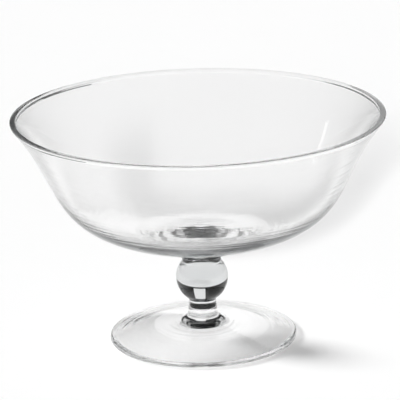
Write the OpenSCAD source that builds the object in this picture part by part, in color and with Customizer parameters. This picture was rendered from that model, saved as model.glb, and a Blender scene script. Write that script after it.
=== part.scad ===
// Footed trifle bowl in clear glass: a blown bowl with a flared, rounded lip, a solid ball stem
// and a round foot. The three pieces are joined hot, face to face, at two round welds.
// Lengths are in millimetres. +Z is up, and the origin is the middle of the plane it stands on.

/* [Overall] */
// Diameter over the bowl's lip
rim_d = 250; // [210:1:290]
// Height from the table to the top of the lip
overall_h = 156.4; // [145:0.2:180]

/* [Bowl] */
// Height of the bowl's underside above its weld, at the middle
bowl_rise = 6; // [4:0.5:9]
// Thickness of glass in the bowl's floor, without the button in its middle
floor_t = 5; // [3.5:0.1:7]
// Height of the button, the swell of glass in the middle of the floor
button_h = 10.5; // [6:0.5:12]
// Diameter at which the button has run out, measured on the bowl's outer face
button_d = 97; // [84:1:110]
// Thickness of the wall where it is thinnest
wall_t = 2.4; // [1.6:0.1:3.2]
// Width of the lip's flat top
lip_w = 4.6; // [4:0.1:5.4]
// Height of the bead by which the lip stands in from the wall
lip_t = 2.6; // [2.3:0.1:3.2]
// Rounding of the lip's outer edge at the top
lip_edge_r = 0.7; // [0.3:0.1:1]
// Rounding of the bead's inner side
lip_bead_r = 0.9; // [0.4:0.1:1]
// Radius of the hollow under the bead
lip_hollow_r = 0.7; // [0.3:0.1:1]
// Rounding where the wall's outer face turns up into the lip
lip_turn_r = 1.5; // [0.5:0.1:2]
// Lean of the wall at the lip, in degrees from upright
lip_flare = 40; // [30:1:50]
// How far the glass spreads out above the weld, as a round hollow
crown_flare = 5; // [2:0.5:8]

/* [Ball stem] */
// Diameter of the ball
ball_d = 35.2; // [32:0.2:38]
// Diameter of the crown neck above the ball, and of its weld to the bowl
crown_d = 26.4; // [20:0.2:29]
// Length of the crown neck's upright side
crown_side_h = 2.1; // [1:0.1:5]
// Radius of the hollow between the ball and the crown neck
crown_fillet_r = 1.5; // [0.5:0.1:3]
// Diameter of the neck under the ball, and of its weld to the foot
neck_d = 18.2; // [14:0.2:22]
// Length of the lower neck's upright side
neck_side_h = 4; // [1:0.5:12]
// Radius of the hollow between the ball and the lower neck
neck_fillet_r = 3; // [1:0.1:4]

/* [Foot] */
// Diameter of the foot
foot_d = 127; // [100:1:150]
// Height of the hub in the middle of the foot, up to the stem's weld
hub_h = 22; // [18:0.5:30]
// How far the hub stands out past the neck that is welded to it, and the rounding of its edge
hub_step = 0.7; // [0.3:0.1:1.5]
// How far the hub spreads out where it runs into the foot's upper face
hub_flare = 6; // [3:0.5:10]
// Height of the foot's upper face where the hub's hollow begins
shoulder_h = 12.8; // [10:0.2:15]
// Thickness of the foot's rounded edge
foot_edge_t = 4; // [3:0.1:6]
// Thickness of glass between the foot's shoulder and its hollow underside
foot_t = 4; // [3.4:0.1:6]
// Width of the flat ring that the foot stands on
land_w = 2.5; // [2:0.5:8]

/* [Hidden] */

// Steps along a curve, round a small arc, and round the axis
curve_steps = 60;
arc_steps = 12;
fn_round = 160;

// The ball, and the centres of the two hollows that lead from it to its necks
ball_r = ball_d / 2;
crown_r = crown_d / 2;
neck_r = neck_d / 2;
crown_climb = sqrt(pow(ball_r + crown_fillet_r, 2) - pow(crown_r + crown_fillet_r, 2));
neck_drop = sqrt(pow(ball_r + neck_fillet_r, 2) - pow(neck_r + neck_fillet_r, 2));
ball_z = hub_h + neck_side_h + neck_drop;

// Heights of the weld under the bowl and of the bowl's underside in the middle
crown_z = ball_z + crown_climb + crown_side_h;
under_z = crown_z + bowl_rise;

// The point in the lip that the wall's outer face is drawn to, as shares of the bead's height in from
// the lip's outer side and down from its top
rim_r = rim_d / 2;
wall_end_shares = [0.17, 0.7];
lip_heading = [sin(lip_flare), cos(lip_flare)];
wall_end = [rim_r, overall_h] - lip_t * wall_end_shares;
wall_h = wall_end.y - under_z;

// The wall's outer face: control points as shares of its reach and height from the middle of the
// underside, then one that is a share of its height back from the lip, so that it ends in the flare
wall_shares = [[0, 0], [0.19, 0], [0.793, 0.227], [0.726, 0.195]];
lip_pull_share = 0.44;
wall_curve = concat(
    [for (s = wall_shares) [s.x * wall_end.x, under_z + s.y * wall_h]],
    [wall_end - lip_pull_share * wall_h * lip_heading, wall_end]
);

// Where along the wall its glass has thinned down from the floor, and where the lip begins
thin_share = 0.75;
lip_share = 0.975;

// The lowest corner of the bead's inner side, as shares of the bead's width past the upright and of
// its height
bead_corner_shares = [0.09, 0.7];

// How far a hollow's curve holds each of its end directions, as a share of its length
hollow_share = 0.39;
// The most of the hub's height that its hollow may take
hub_hollow_share = 0.9;

// Bezier curve through any number of control points: its point and its unit direction
function halfway(p, u) = [for (i = [0 : len(p) - 2]) p[i] + (p[i + 1] - p[i]) * u];
function curve_at(p, u) = len(p) == 1 ? p[0] : curve_at(halfway(p, u), u);
function chord_at(p, u) = len(p) == 2 ? p[1] - p[0] : chord_at(halfway(p, u), u);
function heading_at(p, u) = chord_at(p, u) / norm(chord_at(p, u));

// Points along a curve between two places on it, and round an arc between two angles
function curve(p, from, to, steps) = [for (i = [0 : steps]) curve_at(p, from + (to - from) * i / steps)];
function arc(centre, r, from, to, steps) =
    [for (i = [0 : steps]) let (a = from + (to - from) * i / steps) centre + r * [cos(a), sin(a)]];

// Hollow that leaves one face along its direction and joins the next face along that one's
function hollow(from, from_heading, to, to_heading) =
    let (pull = hollow_share * norm(to - from))
    curve([from, from + pull * from_heading, to - pull * to_heading, to], 0, 1, arc_steps);

// Place at which a curve has come out to the radius r, found by halving
function place_at_r(p, r, low = 0, high = 1, halvings = 24) =
    let (mid = (low + high) / 2)
    halvings == 0 ? mid :
    curve_at(p, mid).x < r
        ? place_at_r(p, r, mid, high, halvings - 1)
        : place_at_r(p, r, low, mid, halvings - 1);

// Where along the wall the button has run out
button_share = place_at_r(wall_curve, button_d / 2);

// A share that eases in and out between 0 and 1
function ease(u) = let (v = min(1, max(0, u))) v * v * (3 - 2 * v);

// Thickness of the bowl's glass at a place on the wall, and the inner face there
function glass_t(u) =
    wall_t
    + (floor_t - wall_t) * (1 - ease(u / thin_share))
    + button_h * (1 - ease(u / button_share));
function inner_at(u) =
    let (h = heading_at(wall_curve, u)) curve_at(wall_curve, u) + glass_t(u) * [-h.y, h.x];

// A corner rounded to the radius r, between the directions to the points before and after it
function rounded(before, corner, after, r) =
    let (
        u = (before - corner) / norm(before - corner),
        v = (after - corner) / norm(after - corner),
        half = acos(u * v) / 2,
        centre = corner + r / sin(half) * (u + v) / norm(u + v),
        from = corner + r / tan(half) * u - centre,
        to = corner + r / tan(half) * v - centre,
        start = atan2(from.y, from.x),
        turn = (atan2(to.y, to.x) - start + 540) % 360 - 180
    )
    arc(centre, r, start, start + turn, arc_steps);

// Place at a height on the straight line that leaves a point along a heading
function at_height(p, heading, z) = p + heading * (z - p.y) / heading.y;

// The lip: the wall's outer face runs on to the lip's outer side, then come the flat top, the bead
// and the hollow under it, back to the wall's inner face
function lip() =
    let (
        h = heading_at(wall_curve, lip_share),
        outer = curve_at(wall_curve, lip_share),
        inner = inner_at(lip_share),
        turn_up = outer + h * (rim_r - outer.x) / h.x,
        edge = [rim_r, overall_h],
        bead_top = [rim_r - lip_w, overall_h],
        bead_low = bead_top + [bead_corner_shares.x * lip_w, -bead_corner_shares.y * lip_t],
        under = at_height(inner, h, overall_h - lip_t)
    )
    concat(
        [outer],
        rounded(outer, turn_up, edge, lip_turn_r),
        rounded(turn_up, edge, bead_top, lip_edge_r),
        rounded(edge, bead_top, bead_low, lip_bead_r),
        rounded(bead_top, bead_low, under, lip_bead_r),
        rounded(bead_low, under, inner, lip_hollow_r),
        [inner]
    );

// One outline from runs of points, in which each run starts at the end of the one before
function outline(runs) =
    [for (k = [0 : len(runs) - 1]) for (i = [k == 0 ? 0 : 1 : len(runs[k]) - 1]) runs[k][i]];

// A piece of glass turned from its outline
module turned(runs, tint) {
    color(tint) rotate_extrude($fn = fn_round) polygon(outline(runs));
}

// Blown bowl: weld, hollow, outer face, lip and inner face
module bowl() {
    start = place_at_r(wall_curve, crown_r + crown_flare);
    turned([
        [[0, crown_z], [crown_r, crown_z]],
        hollow([crown_r, crown_z], [0, 1], curve_at(wall_curve, start), heading_at(wall_curve, start)),
        curve(wall_curve, start, lip_share, curve_steps),
        lip(),
        [for (i = [curve_steps : -1 : 0]) inner_at(lip_share * i / curve_steps)]
    ], [0.86, 0.9, 0.89, 0.45]);
}

// Solid ball between its lower neck, welded to the foot, and its crown neck, welded to the bowl
module ball_stem() {
    ball_centre = [0, ball_z];
    neck_angle = asin(neck_drop / (ball_r + neck_fillet_r));
    crown_angle = asin(crown_climb / (ball_r + crown_fillet_r));
    turned([
        [[0, hub_h], [neck_r, hub_h], [neck_r, hub_h + neck_side_h]],
        arc(ball_centre + [neck_r + neck_fillet_r, -neck_drop], neck_fillet_r, 180, 180 - neck_angle, arc_steps),
        arc(ball_centre, ball_r, -neck_angle, crown_angle, curve_steps),
        arc(ball_centre + [crown_r + crown_fillet_r, crown_climb], crown_fillet_r, 180 + crown_angle, 180, arc_steps),
        [[crown_r, crown_z - crown_side_h], [crown_r, crown_z], [0, crown_z]]
    ], [0.8, 0.85, 0.84, 0.6]);
}

// Round foot: hollow underside, flat ring, rounded edge, sloping upper face and hub
module foot() {
    edge_r = foot_edge_t / 2;
    land_out = foot_d / 2 - edge_r;
    land_in = land_out - land_w;
    under_h = shoulder_h - foot_t;
    hub_r = neck_r + hub_step;
    hub_side_z = hub_h - hub_step;
    hollow_h = min(hub_flare, hub_hollow_share * (hub_side_z - shoulder_h));
    shoulder = [hub_r + hub_flare, shoulder_h];
    edge = [land_out, edge_r];
    edge_turn = atan2(shoulder.y - edge.y, shoulder.x - edge.x) - acos(edge_r / norm(shoulder - edge));
    slope = [-sin(edge_turn), cos(edge_turn)];
    turned([
        curve([[0, under_h], [land_in / 2, under_h], [land_in, 0]], 0, 1, curve_steps),
        [[land_in, 0], [land_out, 0]],
        arc(edge, edge_r, -90, edge_turn, arc_steps),
        [edge + edge_r * [cos(edge_turn), sin(edge_turn)], shoulder],
        hollow(shoulder, slope, [hub_r, shoulder_h + hollow_h], [0, 1]),
        [[hub_r, shoulder_h + hollow_h], [hub_r, hub_side_z]],
        arc([neck_r, hub_side_z], hub_step, 0, 90, arc_steps),
        [[neck_r, hub_h], [0, hub_h]]
    ], [0.88, 0.91, 0.9, 0.45]);
}

bowl();
ball_stem();
foot();
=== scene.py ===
import math

import bmesh
import bpy
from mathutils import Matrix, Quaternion, Vector


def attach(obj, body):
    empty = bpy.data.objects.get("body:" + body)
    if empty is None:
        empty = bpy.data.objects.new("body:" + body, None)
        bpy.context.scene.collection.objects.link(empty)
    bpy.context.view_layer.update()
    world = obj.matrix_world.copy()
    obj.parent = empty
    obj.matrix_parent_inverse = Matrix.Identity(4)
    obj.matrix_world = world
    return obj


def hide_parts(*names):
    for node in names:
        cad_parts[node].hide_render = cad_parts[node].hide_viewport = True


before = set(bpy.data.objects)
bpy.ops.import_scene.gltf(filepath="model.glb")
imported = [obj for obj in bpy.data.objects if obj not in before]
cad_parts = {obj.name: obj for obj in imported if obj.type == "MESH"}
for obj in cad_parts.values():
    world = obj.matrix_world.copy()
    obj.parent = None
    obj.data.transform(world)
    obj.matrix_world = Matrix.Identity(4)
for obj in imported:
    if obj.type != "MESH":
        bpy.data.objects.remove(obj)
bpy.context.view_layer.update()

# Sizes in metres, as in the part's source. Outlines are turned about Z and hold a radius and a height.
RIM_R = 0.125
OVERALL_H = 0.1564

# Bowl
BOWL_RISE = 0.006
FLOOR_T = 0.005
BUTTON_H = 0.0105
BUTTON_R = 0.0485
WALL_T = 0.0024
LIP_W = 0.0046
LIP_T = 0.0026
LIP_EDGE_R = 0.0007
LIP_BEAD_R = 0.0009
LIP_HOLLOW_R = 0.0007
LIP_TURN_R = 0.0015
LIP_FLARE = math.radians(40)
CROWN_FLARE = 0.005
WALL_SHARES = ((0, 0), (0.19, 0), (0.793, 0.227), (0.726, 0.195))
LIP_PULL_SHARE = 0.44
THIN_SHARE = 0.75
LIP_SHARE = 0.975
WALL_END_SHARES = (0.17, 0.7)
BEAD_CORNER_SHARES = (0.09, 0.7)

# Ball stem
BALL_R = 0.0176
CROWN_R = 0.0132
CROWN_SIDE_H = 0.0021
CROWN_FILLET_R = 0.0015
NECK_R = 0.0091
NECK_SIDE_H = 0.004
NECK_FILLET_R = 0.003

# Foot
FOOT_R = 0.0635
HUB_H = 0.022
HUB_STEP = 0.0007
HUB_FLARE = 0.006
SHOULDER_H = 0.0128
FOOT_EDGE_R = 0.002
FOOT_T = 0.004
LAND_W = 0.0025

# How far a hollow's curve is pulled along the faces that it joins
HOLLOW_SHARE = 0.39

# Steps along the outlines
WALL_STEPS = 110
HOLLOW_STEPS = 24
CORNER_STEPS = 14
NECK_HOLLOW_STEPS = 20
BALL_STEPS = 72
UNDERSIDE_STEPS = 60
FOOT_EDGE_STEPS = 28
FOOT_SLOPE_STEPS = 12
HUB_EDGE_STEPS = 12

# Steps round the axis, and halvings in the search for a radius
TURN_STEPS = 144
STEM_TURN_STEPS = 96
SEARCH_HALVINGS = 40

# Points closer than this are one point, and edges that turn more than this are sharp
SAME_PLACE = 1e-6
SHARP_TURN = math.radians(9)

# The ball's place between its two hollows, and the two welds
CROWN_CLIMB = math.sqrt((BALL_R + CROWN_FILLET_R) ** 2 - (CROWN_R + CROWN_FILLET_R) ** 2)
NECK_DROP = math.sqrt((BALL_R + NECK_FILLET_R) ** 2 - (NECK_R + NECK_FILLET_R) ** 2)
BALL_Z = HUB_H + NECK_SIDE_H + NECK_DROP
CROWN_Z = BALL_Z + CROWN_CLIMB + CROWN_SIDE_H
UNDER_Z = CROWN_Z + BOWL_RISE

# The wall's outer face is drawn to a point in the lip
LIP_HEADING = Vector((math.sin(LIP_FLARE), math.cos(LIP_FLARE)))
WALL_END = Vector((RIM_R, OVERALL_H)) - LIP_T * Vector(WALL_END_SHARES)
WALL_H = WALL_END.y - UNDER_Z
WALL_CURVE = [Vector((x * WALL_END.x, UNDER_Z + y * WALL_H)) for x, y in WALL_SHARES]
WALL_CURVE += [WALL_END - LIP_PULL_SHARE * WALL_H * LIP_HEADING, WALL_END]

# Clear glass, the shade painted on its colour where it is seen edge on, and the colour of the shadow it
# casts there
GLASS_IOR = 1.52
GLASS_GLOSS = 0.4
GLASS_BODY_COLOUR = (0.845, 0.855, 0.857, 1)
EDGE_ON_PAINTED_SHADE = (0.05, 0.06, 0.065)
EDGE_ON_SHADOW = (0.05, 0.05, 0.05)

# The bowl's outer face gets its painted edge-on shade sooner low down, and the waves in its glass are
# higher there
LOW_FACE_SHADE = 0.5
LOW_FACE_HEIGHTS = (0.076, 0.105)
LOW_WAVE_HEIGHTS = (0.080, 0.105)

# The stage, in metres: the floor lies just under the foot, and panels face the middle of the bowl's height
FLOOR_R = 40
FLOOR_Z = -0.0002
PANEL_AIM_Z = 0.08
ROUND_STAGE_STEPS = 96
WALL_FADE_SHARE = 0.3

# The room that the glass sees: grey levels, and how far up the horizon runs into the dark
HORIZON_GREY = 0.9
ROOM_GREY = 0.004
HORIZON_REACH = 0.006

# The viewpoint of the photograph, fitted to the outlines of the lip, the ball and the foot
CAMERA_PLACE = (0, -1.6190, 0.5936)
CAMERA_AIM = (0, 0, 0.0966)
CAMERA_ROLL = math.radians(-1.56)
CAMERA_LENS = 227.07

# Light is trapped for long in the lip's flat glass
GLASS_BOUNCES = 160


def point_and_heading(controls, share):
    """The point at a share of a Bezier curve's length, and the curve's direction there."""
    points = list(controls)
    while len(points) > 2:
        points = [a.lerp(b, share) for a, b in zip(points, points[1:])]
    return points[0].lerp(points[1], share), (points[1] - points[0]).normalized()


def curve_run(controls, start, end, steps):
    return [point_and_heading(controls, start + (end - start) * i / steps)[0] for i in range(steps + 1)]


def arc_run(centre, radius, start, end, steps):
    """Points on an arc between two angles in degrees."""
    angles = [math.radians(start + (end - start) * i / steps) for i in range(steps + 1)]
    return [centre + radius * Vector((math.cos(a), math.sin(a))) for a in angles]


def hollow_run(start, start_heading, end, end_heading):
    """A hollow that leaves one face along its direction and joins the next along that one's."""
    pull = HOLLOW_SHARE * (end - start).length
    controls = [start, start + pull * start_heading, end - pull * end_heading, end]
    return curve_run(controls, 0, 1, HOLLOW_STEPS)


def ease(share):
    share = min(1, max(0, share))
    return share * share * (3 - 2 * share)


def share_at_radius(radius):
    """The share of the wall's outer face at which it reaches a radius."""
    low, high = 0, 1
    for _ in range(SEARCH_HALVINGS):
        middle = (low + high) / 2
        if point_and_heading(WALL_CURVE, middle)[0].x < radius:
            low = middle
        else:
            high = middle
    return low


BUTTON_SHARE = share_at_radius(BUTTON_R)


def glass_thickness(share):
    """Thickness of the bowl's glass, with the button that swells up in the middle of its floor."""
    floor_extra = (FLOOR_T - WALL_T) * (1 - ease(share / THIN_SHARE))
    return WALL_T + floor_extra + BUTTON_H * (1 - ease(share / BUTTON_SHARE))


def inner_face(share):
    point, heading = point_and_heading(WALL_CURVE, share)
    return point + glass_thickness(share) * Vector((-heading.y, heading.x))


def rounded(before, corner, after, radius):
    """A corner rounded between the directions to the points before and after it."""
    u = (before - corner).normalized()
    v = (after - corner).normalized()
    half = u.angle(v) / 2
    centre = corner + radius / math.sin(half) * (u + v).normalized()
    first = corner + radius / math.tan(half) * u - centre
    last = corner + radius / math.tan(half) * v - centre
    start = math.degrees(math.atan2(first.y, first.x))
    turn = (math.degrees(math.atan2(last.y, last.x)) - start + 540) % 360 - 180
    return arc_run(centre, radius, start, start + turn, CORNER_STEPS)


def lip_run():
    """The lip: outer side, flat top, and the bead that stands in over its hollow."""
    outer, heading = point_and_heading(WALL_CURVE, LIP_SHARE)
    inner = inner_face(LIP_SHARE)
    turn_up = outer + heading * (RIM_R - outer.x) / heading.x
    edge = Vector((RIM_R, OVERALL_H))
    bead_top = Vector((RIM_R - LIP_W, OVERALL_H))
    bead_low = bead_top + Vector((BEAD_CORNER_SHARES[0] * LIP_W, -BEAD_CORNER_SHARES[1] * LIP_T))
    under = inner + heading * (OVERALL_H - LIP_T - inner.y) / heading.y
    return (
        [outer]
        + rounded(outer, turn_up, edge, LIP_TURN_R)
        + rounded(turn_up, edge, bead_top, LIP_EDGE_R)
        + rounded(edge, bead_top, bead_low, LIP_BEAD_R)
        + rounded(bead_top, bead_low, under, LIP_BEAD_R)
        + rounded(bead_low, under, inner, LIP_HOLLOW_R)
        + [inner]
    )


def bowl_outline():
    start = share_at_radius(CROWN_R + CROWN_FLARE)
    foot_of_wall, heading = point_and_heading(WALL_CURVE, start)
    crown = Vector((CROWN_R, CROWN_Z))
    return [
        [Vector((0, CROWN_Z)), crown],
        hollow_run(crown, Vector((0, 1)), foot_of_wall, heading),
        curve_run(WALL_CURVE, start, LIP_SHARE, WALL_STEPS),
        lip_run(),
        [inner_face(LIP_SHARE * (1 - i / WALL_STEPS)) for i in range(WALL_STEPS + 1)],
    ]


def ball_stem_outline():
    ball = Vector((0, BALL_Z))
    neck_angle = math.degrees(math.asin(NECK_DROP / (BALL_R + NECK_FILLET_R)))
    crown_angle = math.degrees(math.asin(CROWN_CLIMB / (BALL_R + CROWN_FILLET_R)))
    neck_hollow = ball + Vector((NECK_R + NECK_FILLET_R, -NECK_DROP))
    crown_hollow = ball + Vector((CROWN_R + CROWN_FILLET_R, CROWN_CLIMB))
    return [
        [Vector((0, HUB_H)), Vector((NECK_R, HUB_H)), Vector((NECK_R, HUB_H + NECK_SIDE_H))],
        arc_run(neck_hollow, NECK_FILLET_R, 180, 180 - neck_angle, NECK_HOLLOW_STEPS),
        arc_run(ball, BALL_R, -neck_angle, crown_angle, BALL_STEPS),
        arc_run(crown_hollow, CROWN_FILLET_R, 180 + crown_angle, 180, NECK_HOLLOW_STEPS),
        [Vector((CROWN_R, CROWN_Z - CROWN_SIDE_H)), Vector((CROWN_R, CROWN_Z)), Vector((0, CROWN_Z))],
    ]


def foot_outline():
    land_out = FOOT_R - FOOT_EDGE_R
    land_in = land_out - LAND_W
    under_h = SHOULDER_H - FOOT_T
    hub_r = NECK_R + HUB_STEP
    hub_side_z = HUB_H - HUB_STEP
    shoulder = Vector((hub_r + HUB_FLARE, SHOULDER_H))
    edge = Vector((land_out, FOOT_EDGE_R))
    reach = shoulder - edge
    turn = math.atan2(reach.y, reach.x) - math.acos(FOOT_EDGE_R / reach.length)
    slope = Vector((-math.sin(turn), math.cos(turn)))
    edge_top = edge + FOOT_EDGE_R * Vector((math.cos(turn), math.sin(turn)))
    hub_side = Vector((hub_r, SHOULDER_H + HUB_FLARE))
    under = [Vector((0, under_h)), Vector((land_in / 2, under_h)), Vector((land_in, 0))]
    return [
        curve_run(under, 0, 1, UNDERSIDE_STEPS),
        [Vector((land_in, 0)), Vector((land_out, 0))],
        arc_run(edge, FOOT_EDGE_R, -90, math.degrees(turn), FOOT_EDGE_STEPS),
        curve_run([edge_top, shoulder], 0, 1, FOOT_SLOPE_STEPS),
        hollow_run(shoulder, slope, hub_side, Vector((0, 1))),
        [hub_side, Vector((hub_r, hub_side_z))],
        arc_run(Vector((NECK_R, hub_side_z)), HUB_STEP, 0, 90, HUB_EDGE_STEPS),
        [Vector((NECK_R, HUB_H)), Vector((0, HUB_H))],
    ]


def placed(name, data):
    """A new object in the scene with this data."""
    made = bpy.data.objects.new(name, data)
    bpy.context.scene.collection.objects.link(made)
    return made


def mesh_object(name, bm):
    """A new object in the scene with the mesh that has been built, which is used up."""
    mesh = bpy.data.meshes.new(name)
    bm.to_mesh(mesh)
    bm.free()
    return placed(name, mesh)


def in_weld(face, welds):
    """Whether a face lies in one of the welds, each a height and a radius."""
    return any(
        all(abs(v.co.z - height) < SAME_PLACE and v.co.xy.length < radius + SAME_PLACE for v in face.verts)
        for height, radius in welds
    )


def turned_piece(name, runs, steps, welds):
    """A closed piece of glass spun from its outline. The faces of its welds take the second material."""
    bm = bmesh.new()
    corners = []
    for run in runs:
        for point in run:
            place = Vector((point.x, 0, point.y))
            if not corners or (corners[-1].co - place).length > SAME_PLACE:
                corners.append(bm.verts.new(place))
    edges = [bm.edges.new(pair) for pair in zip(corners, corners[1:])]
    bmesh.ops.spin(
        bm,
        geom=corners + edges,
        cent=(0, 0, 0),
        axis=(0, 0, 1),
        dvec=(0, 0, 0),
        angle=math.tau,
        steps=steps,
        use_merge=True,
    )
    bmesh.ops.remove_doubles(bm, verts=bm.verts, dist=SAME_PLACE)
    bmesh.ops.recalc_face_normals(bm, faces=bm.faces)
    for face in bm.faces:
        face.smooth = True
        if in_weld(face, welds):
            face.material_index = 1
    for edge in bm.edges:
        edge.smooth = edge.calc_face_angle() < SHARP_TURN
    return mesh_object(name, bm)


def node(tree, kind, **settings):
    made = tree.nodes.new(kind)
    for key, value in settings.items():
        setattr(made, key, value)
    return made


def math_result(tree, operation, *values):
    """The result of a math node. Each value is a number or another node's output."""
    made = node(tree, "ShaderNodeMath", operation=operation)
    for place, value in zip(made.inputs, values):
        if isinstance(value, (int, float)):
            place.default_value = value
        else:
            tree.links.new(value, place)
    return made.outputs["Value"]


def by_height(tree, heights, at_low, at_high, interpolation="LINEAR"):
    """A value that goes over from one number to another between two heights."""
    place = node(tree, "ShaderNodeTexCoord")
    split = node(tree, "ShaderNodeSeparateXYZ")
    span = node(tree, "ShaderNodeMapRange", interpolation_type=interpolation)
    span.inputs["From Min"].default_value = heights[0]
    span.inputs["From Max"].default_value = heights[1]
    span.inputs["To Min"].default_value = at_low
    span.inputs["To Max"].default_value = at_high
    tree.links.new(place.outputs["Object"], split.inputs["Vector"])
    tree.links.new(split.outputs["Z"], span.inputs["Value"])
    return span.outputs["Result"]


def ripples(tree, scale, sweep, height, low_height=None):
    """Rings of faint waves round the axis, as turning leaves them, with a slow drift along each ring.

    With low_height given, the waves grow to that height toward the bottom of the bowl.
    """
    place = node(tree, "ShaderNodeTexCoord")
    flat = node(tree, "ShaderNodeVectorMath", operation="MULTIPLY")
    flat.inputs[1].default_value = (1, 1, 0)
    reach = node(tree, "ShaderNodeVectorMath", operation="LENGTH")
    split = node(tree, "ShaderNodeSeparateXYZ")
    rings = node(tree, "ShaderNodeCombineXYZ")
    drift = node(tree, "ShaderNodeVectorMath", operation="MULTIPLY_ADD")
    drift.inputs[1].default_value = (sweep, sweep, 0)
    noise = node(tree, "ShaderNodeTexNoise")
    noise.inputs["Scale"].default_value = 1.0
    noise.inputs["Detail"].default_value = 1.5
    bump = node(tree, "ShaderNodeBump")
    bump.inputs["Strength"].default_value = 1.0
    bump.inputs["Distance"].default_value = height
    if low_height is not None:
        tree.links.new(by_height(tree, LOW_WAVE_HEIGHTS, low_height, height), bump.inputs["Distance"])
    tree.links.new(place.outputs["Object"], flat.inputs[0])
    tree.links.new(flat.outputs["Vector"], reach.inputs[0])
    tree.links.new(place.outputs["Object"], split.inputs["Vector"])
    tree.links.new(math_result(tree, "MULTIPLY", reach.outputs["Value"], scale), rings.inputs["X"])
    tree.links.new(math_result(tree, "MULTIPLY", split.outputs["Z"], scale), rings.inputs["Z"])
    tree.links.new(place.outputs["Object"], drift.inputs[0])
    tree.links.new(rings.outputs["Vector"], drift.inputs[2])
    tree.links.new(drift.outputs["Vector"], noise.inputs["Vector"])
    tree.links.new(noise.outputs["Fac"], bump.inputs["Height"])
    return bump


def low_outer_face(tree):
    """Painted shade of LOW_FACE_SHADE on the bowl's outer face low down, running out to 0 above and 0 on
    the inner face.

    The normal always points at the viewer, so it is turned back on faces that are seen from within.
    """
    face = node(tree, "ShaderNodeNewGeometry")
    lean = node(tree, "ShaderNodeSeparateXYZ")
    tree.links.new(face.outputs["Normal"], lean.inputs["Vector"])
    way = math_result(tree, "MULTIPLY_ADD", face.outputs["Backfacing"], -2.0, 1.0)
    rise = math_result(tree, "MULTIPLY", way, lean.outputs["Z"])
    outer = math_result(tree, "LESS_THAN", rise, 0.0)
    return math_result(tree, "MULTIPLY", outer, by_height(tree, LOW_FACE_HEIGHTS, LOW_FACE_SHADE, 0.0))


def edge_shade(tree, clear, dark, start, full, more_painted_shade_low=False):
    """A colour, clear face on and dark where the glass is seen edge on: painted shade, or its shadow's
    colour.
    """
    facing = node(tree, "ShaderNodeLayerWeight")
    facing.inputs["Blend"].default_value = 0.5
    ramp = node(tree, "ShaderNodeValToRGB")
    ramp.color_ramp.elements[0].position = start
    ramp.color_ramp.elements[0].color = (*clear, 1)
    ramp.color_ramp.elements[1].position = full
    ramp.color_ramp.elements[1].color = (*dark, 1)
    amount = facing.outputs["Facing"]
    if more_painted_shade_low:
        amount = math_result(tree, "ADD", amount, low_outer_face(tree))
    tree.links.new(amount, ramp.inputs["Fac"])
    return ramp.outputs["Color"]


def bare_material(name):
    """A material whose nodes are an output and nothing else."""
    material = bpy.data.materials.new(name)
    material.use_nodes = True
    tree = material.node_tree
    tree.nodes.clear()
    return material, tree, node(tree, "ShaderNodeOutputMaterial")


def clear_glass(name, roughness, waves, density, painted_shade_start, shadow, shadow_reach, more_painted_shade_low=False):
    """Clear blown glass: a body that refracts, drinks a little light, casts a light shadow and has shade
    painted on its edges.
    """
    material, tree, out = bare_material(name)
    glass = node(tree, "ShaderNodeBsdfPrincipled")
    # The base colour paints shade where the glass is seen edge on, more of it low on the bowl's outer
    # face.
    painted_edge_shade = edge_shade(tree, (1, 1, 1), EDGE_ON_PAINTED_SHADE, painted_shade_start, 1.0, more_painted_shade_low)
    tree.links.new(painted_edge_shade, glass.inputs["Base Color"])
    glass.inputs["Roughness"].default_value = roughness
    glass.inputs["IOR"].default_value = GLASS_IOR
    glass.inputs["Specular IOR Level"].default_value = GLASS_GLOSS
    glass.inputs["Transmission Weight"].default_value = 1.0
    tree.links.new(ripples(tree, **waves).outputs["Normal"], glass.inputs["Normal"])
    clear = node(tree, "ShaderNodeBsdfTransparent")
    shade = edge_shade(tree, (shadow, shadow, shadow), EDGE_ON_SHADOW, *shadow_reach)
    tree.links.new(shade, clear.inputs["Color"])
    ray = node(tree, "ShaderNodeLightPath")
    mix = node(tree, "ShaderNodeMixShader")
    tree.links.new(ray.outputs["Is Shadow Ray"], mix.inputs["Fac"])
    tree.links.new(glass.outputs["BSDF"], mix.inputs[1])
    tree.links.new(clear.outputs["BSDF"], mix.inputs[2])
    tree.links.new(mix.outputs["Shader"], out.inputs["Surface"])
    body = node(tree, "ShaderNodeVolumeAbsorption")
    body.inputs["Color"].default_value = GLASS_BODY_COLOUR
    body.inputs["Density"].default_value = density
    tree.links.new(body.outputs["Volume"], out.inputs["Volume"])
    return material


def weld():
    """The face inside a hot weld, where the glass runs right through."""
    material, tree, out = bare_material("weld")
    clear = node(tree, "ShaderNodeBsdfTransparent")
    clear.inputs["Color"].default_value = (1, 1, 1, 1)
    tree.links.new(clear.outputs["BSDF"], out.inputs["Surface"])
    return material


def pale_floor():
    material = bpy.data.materials.new("pale_floor")
    material.use_nodes = True
    surface = material.node_tree.nodes["Principled BSDF"]
    surface.inputs["Base Color"].default_value = (0.98, 0.98, 0.98, 1)
    surface.inputs["Roughness"].default_value = 1.0
    surface.inputs["Specular IOR Level"].default_value = 0.0
    return material


def glow(name, strength, fade_heights=None):
    """A material that only gives white light, fading out between two heights if they are given."""
    material, tree, out = bare_material(name)
    light = node(tree, "ShaderNodeEmission")
    light.inputs["Color"].default_value = (1, 1, 1, 1)
    light.inputs["Strength"].default_value = strength
    if fade_heights is not None:
        fade = by_height(tree, fade_heights, strength, 0.0, "SMOOTHSTEP")
        tree.links.new(fade, light.inputs["Strength"])
    tree.links.new(light.outputs["Emission"], out.inputs["Surface"])
    return material


def direction(azimuth, elevation):
    """The direction from the bowl at an azimuth, 0 being behind it, and an elevation, in degrees."""
    a = math.radians(azimuth)
    e = math.radians(elevation)
    return Vector((math.sin(a) * math.cos(e), math.cos(a) * math.cos(e), math.sin(e)))


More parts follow.
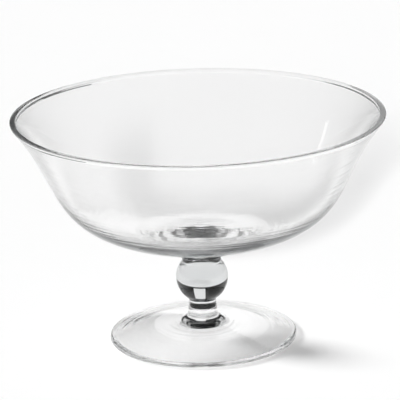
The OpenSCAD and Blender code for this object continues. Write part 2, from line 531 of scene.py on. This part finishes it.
def floor():
    bm = bmesh.new()
    bmesh.ops.create_circle(bm, cap_ends=True, radius=FLOOR_R, segments=ROUND_STAGE_STEPS)
    bmesh.ops.translate(bm, vec=(0, 0, FLOOR_Z), verts=bm.verts)
    made = mesh_object("floor", bm)
    made.data.materials.append(pale_floor())


def seen_in_glass(made):
    """Let a lit surface show in the glass and nowhere else."""
    made.visible_camera = False
    made.visible_diffuse = False
    made.visible_shadow = False
    return made


def panel(name, azimuth, elevation, distance, width, height, strength):
    """A lit panel that faces the bowl."""
    toward = direction(azimuth, elevation)
    bm = bmesh.new()
    bmesh.ops.create_grid(bm, x_segments=1, y_segments=1, size=0.5)
    bmesh.ops.scale(bm, vec=(width, height, 1), verts=bm.verts)
    bmesh.ops.rotate(bm, cent=(0, 0, 0), matrix=toward.to_track_quat("Z", "Y").to_matrix(), verts=bm.verts)
    bmesh.ops.translate(bm, vec=toward * distance + Vector((0, 0, PANEL_AIM_Z)), verts=bm.verts)
    made = mesh_object(name, bm)
    made.data.materials.append(glow("white_panel", strength))
    return seen_in_glass(made)


def glow_wall(radius, height, strength):
    """A pale wall all round that fades out upward."""
    bm = bmesh.new()
    bmesh.ops.create_cone(
        bm,
        cap_ends=False,
        radius1=radius,
        radius2=radius,
        depth=height,
        segments=ROUND_STAGE_STEPS,
    )
    bmesh.ops.translate(bm, vec=(0, 0, height / 2), verts=bm.verts)
    made = mesh_object("glow_wall", bm)
    made.data.materials.append(glow("glow_wall", strength, (WALL_FADE_SHARE * height, height)))
    return seen_in_glass(made)


def group_of(name, pieces):
    group = bpy.data.collections.new(name)
    for piece in pieces:
        group.objects.link(piece)
    return group


def shown_in(made, pieces):
    """Let a lit surface show in these pieces of glass and in nothing else."""
    made.light_linking.receiver_collection = group_of(made.name + "_shown_in", pieces)


def passes(light, pieces):
    """Let a light pass these pieces without a shadow."""
    group = group_of(light.name + "_passes", pieces)
    for entry in group.collection_objects:
        entry.light_linking.link_state = "EXCLUDE"
    light.light_linking.blocker_collection = group


def sun(name, azimuth, elevation, strength, spread):
    """A soft sun that lights the floor and doesn't show in the glass."""
    light = bpy.data.lights.new(name, "SUN")
    light.energy = strength
    light.angle = math.radians(spread)
    made = placed(name, light)
    made.rotation_mode = "QUATERNION"
    made.rotation_quaternion = direction(azimuth, elevation).to_track_quat("Z", "Y")
    made.visible_glossy = False
    made.visible_transmission = False
    return made


def surroundings():
    """White to the camera, and a dark room with a pale horizon to the glass."""
    world = bpy.data.worlds.new("surroundings")
    world.use_nodes = True
    bpy.context.scene.world = world
    tree = world.node_tree
    tree.nodes.clear()
    out = node(tree, "ShaderNodeOutputWorld")
    sky = node(tree, "ShaderNodeBackground")
    ray_way = node(tree, "ShaderNodeTexCoord")
    split = node(tree, "ShaderNodeSeparateXYZ")
    room = node(tree, "ShaderNodeValToRGB")
    ray = node(tree, "ShaderNodeLightPath")
    mix = node(tree, "ShaderNodeMix", data_type="RGBA")
    room.color_ramp.elements[0].position = 0.0
    room.color_ramp.elements[0].color = (HORIZON_GREY, HORIZON_GREY, HORIZON_GREY, 1)
    room.color_ramp.elements[1].position = HORIZON_REACH
    room.color_ramp.elements[1].color = (ROOM_GREY, ROOM_GREY, ROOM_GREY, 1)
    mix.inputs["B"].default_value = (1, 1, 1, 1)
    tree.links.new(ray_way.outputs["Generated"], split.inputs["Vector"])
    tree.links.new(split.outputs["Z"], room.inputs["Fac"])
    tree.links.new(ray.outputs["Is Camera Ray"], mix.inputs["Factor"])
    tree.links.new(room.outputs["Color"], mix.inputs["A"])
    tree.links.new(mix.outputs["Result"], sky.inputs["Color"])
    tree.links.new(sky.outputs["Background"], out.inputs["Surface"])


def camera():
    lens = bpy.data.cameras.new("camera")
    lens.lens = CAMERA_LENS
    lens.sensor_width = 36
    lens.clip_start = 0.1
    lens.clip_end = 100
    made = placed("camera", lens)
    made.location = CAMERA_PLACE
    aim = Vector(CAMERA_AIM) - made.location
    made.rotation_mode = "QUATERNION"
    made.rotation_quaternion = aim.to_track_quat("-Z", "Y") @ Quaternion((0, 0, 1), CAMERA_ROLL)
    bpy.context.scene.camera = made


camera()
floor()
surroundings()
front = sun("front", azimuth=-174, elevation=17, strength=4.2, spread=5)
side = sun("side", azimuth=-61, elevation=32, strength=3.3, spread=18)
overhead = sun("overhead", azimuth=0, elevation=80, strength=0.16, spread=60)
panel("window", azimuth=5, elevation=17.2, distance=3.0, width=1.05, height=1.72, strength=1.0)
panel("left_strip", azimuth=-66, elevation=17, distance=1.5, width=0.04, height=0.26, strength=2.0)
top = panel("top_panel", azimuth=0, elevation=84, distance=1.6, width=1.1, height=1.1, strength=0.85)
wall = glow_wall(radius=3.3, height=0.55, strength=0.95)

bowl_glass = clear_glass(
    "bowl_clear_glass",
    roughness=0.0,
    waves={"scale": 420.0, "sweep": 14.0, "height": 0.00004, "low_height": 0.00019},
    density=3.0,
    painted_shade_start=0.7,
    shadow=0.99,
    shadow_reach=(0.55, 0.95),
    more_painted_shade_low=True,
)
stem_glass = clear_glass(
    "stem_clear_glass",
    roughness=0.0,
    waves={"scale": 160.0, "sweep": 40.0, "height": 0.00002},
    density=55.0,
    painted_shade_start=0.8,
    shadow=0.1,
    shadow_reach=(0.4, 1.0),
)
foot_glass = clear_glass(
    "foot_clear_glass",
    roughness=0.03,
    waves={"scale": 260.0, "sweep": 12.0, "height": 0.00008},
    density=8.0,
    painted_shade_start=0.8,
    shadow=0.93,
    shadow_reach=(0.5, 0.75),
)
joined = weld()
bowl = turned_piece("bowl_glass", bowl_outline(), TURN_STEPS, [(CROWN_Z, CROWN_R)])
ball_stem = turned_piece(
    "ball_stem_glass",
    ball_stem_outline(),
    STEM_TURN_STEPS,
    [(HUB_H, NECK_R), (CROWN_Z, CROWN_R)],
)
foot = turned_piece("foot_glass", foot_outline(), TURN_STEPS, [(HUB_H, NECK_R)])
for piece, cad_node, glass in (
    (bowl, "bowl", bowl_glass),
    (ball_stem, "ball_stem", stem_glass),
    (foot, "foot", foot_glass),
):
    piece.data.materials.append(glass)
    piece.data.materials.append(joined)
    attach(piece, "root")
    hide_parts(cad_node)

shown_in(wall, [bowl, foot])
shown_in(top, [ball_stem])
passes(front, [ball_stem, foot])
passes(side, [bowl])
passes(overhead, [bowl, ball_stem, foot])

scene = bpy.context.scene
scene.cycles.max_bounces = GLASS_BOUNCES
scene.cycles.transmission_bounces = GLASS_BOUNCES
scene.cycles.glossy_bounces = GLASS_BOUNCES
scene.view_settings.view_transform = "Standard"
